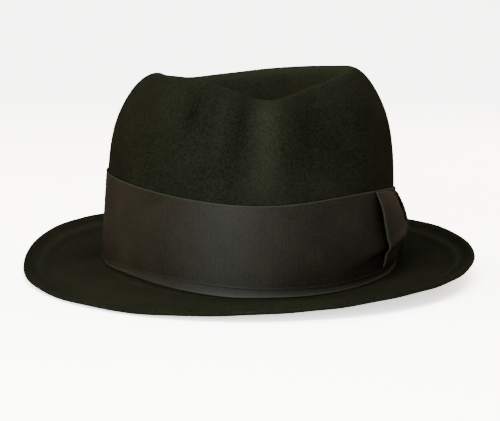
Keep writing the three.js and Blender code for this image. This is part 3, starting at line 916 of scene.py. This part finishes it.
def make_wing(hat, ribbon, bow, name, side):
    place = np.linspace(0, len(WING) - 1, WING_STEPS)
    rows = along_spline(WING[None], place[None])[0]
    column = {key: rows[:, [k]] for k, key in enumerate(WING_COLUMNS)}
    share, tall, stand_off = column["along"], column["tall"], column["proud"] * bow.wing_proud
    if side < 0:
        tall, stand_off = column["rear_tall"], column["puff"] * bow.wing_proud
    across = np.linspace(-1, 1, WING_ACROSS)[None]
    along = side * share * (bow.wing_length + bow.wing_slant * across)
    rise = across * tall * bow.height / 2 + bow.wing_rise * share ** 2
    bulge = wing_bulge(across, smooth_step(*WING_OPENS, share)) * stand_off
    folds = (1 - np.cos(PLEATS * 2 * np.pi * (across + 1) / 2)) / 2
    off = ribbon.clearance + bulge + bow.pleat_depth * column["pleat"] * folds
    off = np.maximum(off - wing_crease(bow, share, across), ribbon.clearance)
    runs = (rows[:, 0] * bow.wing_length, across[0] * bow.height / 2)
    # Painted highlight along the wing's open end and its upper and lower edges
    way_out = np.maximum(share, np.abs(across))
    wear_and_painted_light = BOW_EDGE_HIGHLIGHT * smooth_step(WING_EDGE_START, 1, way_out)
    # Painted light on the wing's lower part
    wear_and_painted_light = wear_and_painted_light + WING_FOOT_PAINTED_LIGHT * smooth_step(*WING_FOOT, across)
    piece = strip_piece(hat, ribbon, bow, name, along, rise, off, runs, "rows", wear_and_painted_light)
    return piece


def make_knot(hat, ribbon, bow):
    share = np.linspace(-1, 1, KNOT_STEPS)[:, None]
    across = np.linspace(-1, 1, WING_ACROSS)[None]
    roll = 1 - KNOT_ROLL * share ** 4
    folds = KNOT_FOLD * np.cos(KNOT_FOLDS * np.pi * share) * (1 - across ** 2)
    bulge = (1 - np.abs(across) ** KNOT_BULGE_POWER) * roll * bow.knot_proud
    off = ribbon.clearance + bulge + folds
    along = share * bow.knot_width / 2 + 0 * across
    rise = across * bow.knot_height / 2 + 0 * share
    runs = (share[:, 0] * bow.knot_width / 2, runs_of(np.stack((rise[0], bulge[0]), 1), False))
    # Painted highlight along the knot's front and back edges
    wear_and_painted_light = BOW_EDGE_HIGHLIGHT * smooth_step(KNOT_EDGE_START, 1, np.abs(share)) + 0 * across
    piece = strip_piece(hat, ribbon, bow, "knot_wrap", along, rise, off, runs, "columns", wear_and_painted_light)
    return piece


# Finishes

class NodeTree:
    """Adds and joins nodes in a material."""

    def __init__(self, name):
        self.material = bpy.data.materials.new(name)
        self.material.use_nodes = True
        self.nodes = self.material.node_tree.nodes
        self.links = self.material.node_tree.links
        self.shader = self.nodes["Principled BSDF"]

    def add(self, kind, links=None, **settings):
        node = self.nodes.new(kind)
        for name, value in settings.items():
            if name in node.inputs:
                node.inputs[name].default_value = value
            else:
                setattr(node, name, value)
        for socket, source in (links or {}).items():
            self.links.new(source, node.inputs[socket])
        return node

    def join(self, source, socket):
        self.links.new(source, self.shader.inputs[socket])

    def bump(self, height, strength, distance):
        node = self.add("ShaderNodeBump", {"Height": height}, Strength=strength, Distance=distance)
        self.join(node.outputs["Normal"], "Normal")

    def set(self, **values):
        for name, value in values.items():
            self.shader.inputs[name.replace("_", " ")].default_value = value


def maths(tree, operation, first, second=0.5):
    node = tree.add("ShaderNodeMath", operation=operation)
    for socket, value in zip(node.inputs, (first, second)):
        if isinstance(value, (int, float)):
            socket.default_value = value
        else:
            tree.links.new(value, socket)
    return node.outputs[0]


def blend_colours(tree, share, low, high):
    node = tree.add("ShaderNodeMix", data_type="RGBA")
    tree.links.new(share, node.inputs["Factor"])
    sockets = [socket for socket in node.inputs if socket.type == "RGBA"]
    for socket, value in zip(sockets, (low, high)):
        if hasattr(value, "is_linked"):
            tree.links.new(value, socket)
        else:
            socket.default_value = (*value, 1)
    return next(socket for socket in node.outputs if socket.type == "RGBA")


def add_noises(tree, place, noises, size, share):
    """Noise textures by name, and the share with each one's swing round its middle added."""
    made = {}
    for name, waves, detail, roughness, distortion, add in noises:
        node = tree.add(
            "ShaderNodeTexNoise", {"Vector": place}, Scale=waves / size, Detail=detail,
            Roughness=roughness, Distortion=distortion)
        made[name] = node.outputs["Fac"]
        swing = maths(tree, "MULTIPLY", maths(tree, "SUBTRACT", made[name], 0.5), add)
        share = maths(tree, "ADD", share, swing)
    return made, share


def felt_finish(finish):
    """Matt felt: patches of rubbed nap, a fine grain, painted light and shade, and a soft sheen at
    grazing light.
    """
    tree = NodeTree("fur_felt")
    place = tree.add("ShaderNodeTexCoord").outputs["Object"]
    wear_and_painted_light = tree.add("ShaderNodeAttribute", attribute_name="wear_and_painted_light").outputs["Fac"]
    noises, share = add_noises(tree, place, FELT_NOISES, finish.nap_grain, wear_and_painted_light)
    share.node.use_clamp = True
    # Lighter where the nap is rubbed and where light is painted, darker where shade is painted
    colour = blend_colours(tree, share, finish.felt_colour, finish.felt_worn_and_lit_colour)
    tree.join(colour, "Base Color")
    fibres = maths(tree, "MULTIPLY", noises["fibre"], FIBRE_HEIGHT)
    tree.bump(maths(tree, "ADD", noises["grain"], fibres), strength=0.55, distance=0.0004)
    tree.set(Roughness=0.7, Specular_IOR_Level=0, Coat_Weight=0.001, Coat_IOR=3, Coat_Roughness=0.6,
             Sheen_Weight=0.0006, Sheen_Roughness=0.4, Sheen_Tint=(0.55, 0.55, 0.47, 1))
    return tree.material


def ribbon_finish(finish):
    """Ribbed ribbon: ribs across its width, thread crossings along each rib, a satin gloss, painted
    light.
    """
    tree = NodeTree("ribbed_ribbon")
    run = tree.add("ShaderNodeUVMap", uv_map="run").outputs["UV"]
    parts = tree.add("ShaderNodeSeparateXYZ", {"Vector": run})
    turns = maths(tree, "MULTIPLY", parts.outputs["X"], 2 * np.pi / finish.rib_pitch)
    rib = maths(tree, "ADD", maths(tree, "MULTIPLY", maths(tree, "SINE", turns), 0.5), 0.5)
    # Lighter on the ribs and darker between them: painted shade between the ribs
    ribs = maths(tree, "MULTIPLY", rib, RIB_LIGHT)
    noises, share = add_noises(tree, run, RIBBON_NOISES, finish.rib_pitch, ribs)
    share = maths(tree, "ADD", share, RIBBON_LIGHT)
    share.node.use_clamp = True
    colour = blend_colours(tree, share, finish.ribbon_valley_colour, finish.ribbon_colour)
    # Towards the lighter colour where light or a highlight is painted
    wear_and_painted_light = tree.add("ShaderNodeAttribute", attribute_name="wear_and_painted_light").outputs["Fac"]
    tree.join(blend_colours(tree, wear_and_painted_light, colour, finish.ribbon_painted_light_colour), "Base Color")
    gloss = tree.add(
        "ShaderNodeMapRange", {"Value": noises["threads"]}, **{"To Min": 0.42, "To Max": 0.62})
    tree.join(gloss.outputs["Result"], "Roughness")
    threads = maths(tree, "MULTIPLY", noises["threads"], THREAD_HEIGHT)
    tree.bump(maths(tree, "ADD", rib, threads), strength=0.8, distance=0.0002)
    tree.set(Specular_IOR_Level=0, Coat_Weight=0.0092, Coat_IOR=3, Coat_Roughness=0.56)
    return tree.material


def floor_finish(stage):
    tree = NodeTree("pale_sweep")
    place = tree.add("ShaderNodeTexCoord").outputs["Object"]
    mottle = tree.add("ShaderNodeTexNoise", {"Vector": place}, Scale=3, Detail=3)
    pale = tuple(stage.floor_colour)
    darker = tuple(0.97 * value for value in pale)
    tree.join(blend_colours(tree, mottle.outputs["Fac"], pale, darker), "Base Color")
    tree.set(Roughness=0.9, Specular_IOR_Level=0.2, Emission_Color=(*pale, 1),
             Emission_Strength=stage.floor_glow)
    return tree.material


def finish_of(context, name):
    material = bpy.data.materials.get(name)
    if material:
        return material
    finish = context.scene.fedora_finish
    return felt_finish(finish) if name == "fur_felt" else ribbon_finish(finish)


def dress(piece, node, material):
    piece.data.materials.append(material)
    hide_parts(node)


# Stage

def make_sweep():
    """A floor that curves up into a wall behind."""
    half_width, front, bend, radius, wall = 4.0, -3.5, 1.6, 1.2, 3.0
    columns, floor_rows, curve_rows = 9, 12, 24
    turn = np.radians(np.linspace(0, 90, curve_rows))
    curve_y, curve_z = bend + radius * np.sin(turn), radius * (1 - np.cos(turn))
    floor_y = np.linspace(front, bend, floor_rows)[:-1]
    y = np.concatenate((floor_y, curve_y, curve_y[-1:]))
    z = np.concatenate((0 * floor_y, curve_z, [wall])) + CAD_LOW.z
    x = np.linspace(-half_width, half_width, columns)
    grid = np.stack([np.column_stack((np.full(len(y), side), y, z)) for side in x])
    faces = grid_faces(len(x), len(y), False, False)
    faces = faces[..., 0] * len(y) + faces[..., 1]
    sweep = smooth_object("sweep", grid.reshape(-1, 3), faces[:, ::-1])
    return sweep


def aim(thing, target):
    way = Vector(target) - thing.location
    thing.rotation_euler = way.to_track_quat("-Z", "Y").to_euler()


def add_light(stage, name, power, share, place, target, size, colour):
    light = bpy.data.lights.new(name, "AREA")
    light.shape = "RECTANGLE"
    light.size, light.size_y = size
    light.energy = share * getattr(stage, power)
    light.color = colour
    lamp = add_object(name, light)
    lamp.location = place
    aim(lamp, target)


def add_camera(stage):
    data = bpy.data.cameras.new("view")
    data.lens = stage.lens
    data.sensor_width = 36
    data.clip_start = 0.01
    camera = add_object("view", data)
    side = CAMERA_SIDE * stage.camera_distance
    camera.location = (
        VIEW_TARGET[0] - side, VIEW_TARGET[1] - stage.camera_distance * CAMERA_BACK,
        stage.camera_height)
    aim(camera, VIEW_TARGET)
    bpy.context.scene.camera = camera


def set_room_light(strength):
    world = bpy.data.worlds.new("room")
    world.use_nodes = True
    inputs = world.node_tree.nodes["Background"].inputs
    inputs["Color"].default_value = (1, 0.99, 0.97, 1)
    inputs["Strength"].default_value = strength
    bpy.context.scene.world = world


class FEDORA_OT_felt_body(Operator):
    """Build the crown and the brim as one felt shell"""
    bl_idname = "fedora.felt_body"
    bl_label = "Felt Body"

    def execute(self, context):
        piece = make_felt_body(context.scene.fedora_hat)
        dress(piece, "felt_body", finish_of(context, "fur_felt"))
        return {"FINISHED"}


class FEDORA_OT_ribbons(Operator):
    """Build the band and the under ribbon round the crown"""
    bl_idname = "fedora.ribbons"
    bl_label = "Ribbons"

    def execute(self, context):
        hat, ribbon = context.scene.fedora_hat, context.scene.fedora_ribbon
        material = finish_of(context, "ribbed_ribbon")
        dress(make_band(hat, ribbon), "ribbon_band", material)
        dress(make_under_ribbon(hat, ribbon), "under_ribbon", material)
        return {"FINISHED"}


class FEDORA_OT_bow(Operator):
    """Build the bow's two wings and its knot"""
    bl_idname = "fedora.bow"
    bl_label = "Bow"

    def execute(self, context):
        scene = context.scene
        sizes = (scene.fedora_hat, scene.fedora_ribbon, scene.fedora_bow)
        material = finish_of(context, "ribbed_ribbon")
        dress(make_wing(*sizes, "front_wing", 1), "bow_front_wing", material)
        dress(make_wing(*sizes, "rear_wing", -1), "bow_rear_wing", material)
        dress(make_knot(*sizes), "bow_knot", material)
        return {"FINISHED"}


class FEDORA_OT_stage(Operator):
    """Build the sweep, the lights and the camera"""
    bl_idname = "fedora.stage"
    bl_label = "Stage"

    def execute(self, context):
        stage = context.scene.fedora_stage
        make_sweep().data.materials.append(floor_finish(stage))
        set_room_light(stage.room_light)
        for light in LIGHTS:
            add_light(stage, *light)
        add_camera(stage)
        return {"FINISHED"}


class FEDORA_PT_sidebar(Panel):
    bl_idname = "FEDORA_PT_sidebar"
    bl_label = "Felt Fedora"
    bl_space_type = "VIEW_3D"
    bl_region_type = "UI"
    bl_category = "Fedora"

    def draw(self, context):
        for operator in OPERATORS:
            self.layout.operator(operator.bl_idname)
        for name, group in GROUPS.items():
            box = self.layout.box()
            for setting in group.__annotations__:
                box.prop(getattr(context.scene, name), setting)


OPERATORS = (FEDORA_OT_felt_body, FEDORA_OT_ribbons, FEDORA_OT_bow, FEDORA_OT_stage)
GROUPS = {
    "fedora_hat": HatSizes,
    "fedora_ribbon": RibbonSizes,
    "fedora_bow": BowSizes,
    "fedora_finish": FinishSettings,
    "fedora_stage": StageSettings,
}


def register():
    for group in GROUPS.values():
        bpy.utils.register_class(group)
    for name, group in GROUPS.items():
        setattr(bpy.types.Scene, name, PointerProperty(type=group))
    for item in (*OPERATORS, FEDORA_PT_sidebar):
        bpy.utils.register_class(item)


def unregister():
    for item in (FEDORA_PT_sidebar, *reversed(OPERATORS)):
        bpy.utils.unregister_class(item)
    for name, group in GROUPS.items():
        delattr(bpy.types.Scene, name)
        bpy.utils.unregister_class(group)


def main():
    register()
    bpy.ops.fedora.felt_body()
    bpy.ops.fedora.ribbons()
    bpy.ops.fedora.bow()
    bpy.ops.fedora.stage()


if __name__ == "__main__":
    main()
